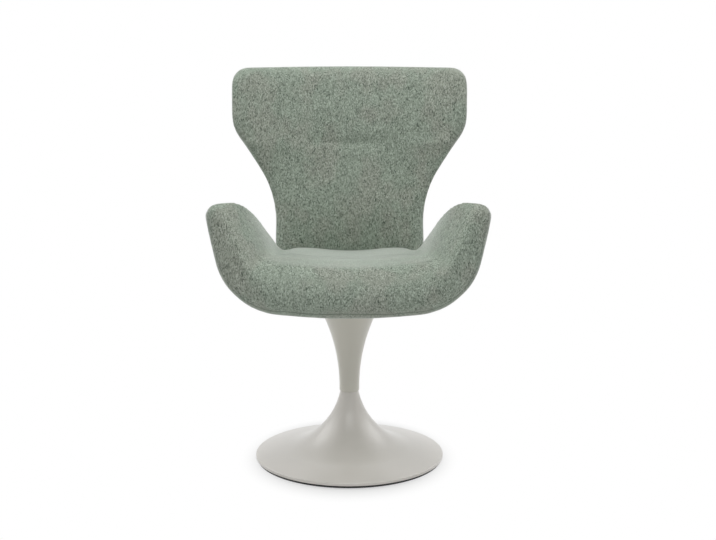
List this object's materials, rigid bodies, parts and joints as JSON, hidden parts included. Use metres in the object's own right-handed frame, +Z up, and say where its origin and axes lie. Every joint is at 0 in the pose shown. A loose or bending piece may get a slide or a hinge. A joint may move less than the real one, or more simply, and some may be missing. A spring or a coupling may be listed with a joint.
{
  "type": "pedestal swivel armchair",
  "caption": "Upholstered lounge chair with a winged back, a bucket seat with curved arms, and a trumpet shaped swivel pedestal.",
  "frame": {"origin": "on the floor, on the swivel axis, at the underside of the base ring", "axes": "+Z up along the swivel axis, -Y the way the sitter faces, +X the right side of a front view"},
  "size_m": [0.6124, 0.5658, 0.9299],
  "materials": {
    "foot_paint": "satin pale warm grey paint",
    "stem_paint": "satin pale warm grey paint",
    "dark_plastic": "matte near-black plastic",
    "cast_iron": "rough as cast",
    "steel": "plain zinc plated",
    "bearing_plastic": "smooth off-white",
    "bronze": "turned",
    "shell_plastic": "moulded, matte",
    "seat_fabric": "sage grey-green tweed weave",
    "outer_fabric": "sage grey-green tweed weave",
    "back_fabric": "sage grey-green tweed weave"
  },
  "bodies": {
    "pedestal": {"trumpet_foot": "foot_paint", "base_ring": "dark_plastic", "ballast_disc": "cast_iron", "column_tube": "steel", "column_flange": "steel", "flange_screws": "steel", "neck_sleeve": "bearing_plastic", "lower_bush": "bearing_plastic", "upper_bush": "bearing_plastic", "thrust_washer": "bronze", "neck_ring": "dark_plastic"},
    "swivel_part": {"stem_cone": "stem_paint", "swivel_spindle": "steel", "spindle_washer": "steel", "spindle_circlip": "steel", "seat_spider": "cast_iron", "spider_screws": "steel", "tee_nuts": "steel", "seat_shell": "shell_plastic", "outer_pad": "outer_fabric", "seat_cushion": "seat_fabric", "arm_pad_left": "seat_fabric", "arm_pad_right": "seat_fabric", "back_bracket": "steel", "seat_bracket_screws": "steel", "back_bracket_screws": "steel", "back_pad": "back_fabric", "back_shell": "shell_plastic", "back_rear_pad": "back_fabric"}
  },
  "joints": [
    {"name": "seat_swivel", "type": "hinge", "parent": "pedestal", "child": "swivel_part", "pos_m": [0, 0, 0.165], "axis": [0, 0, 1], "continuous": true}
  ]
}
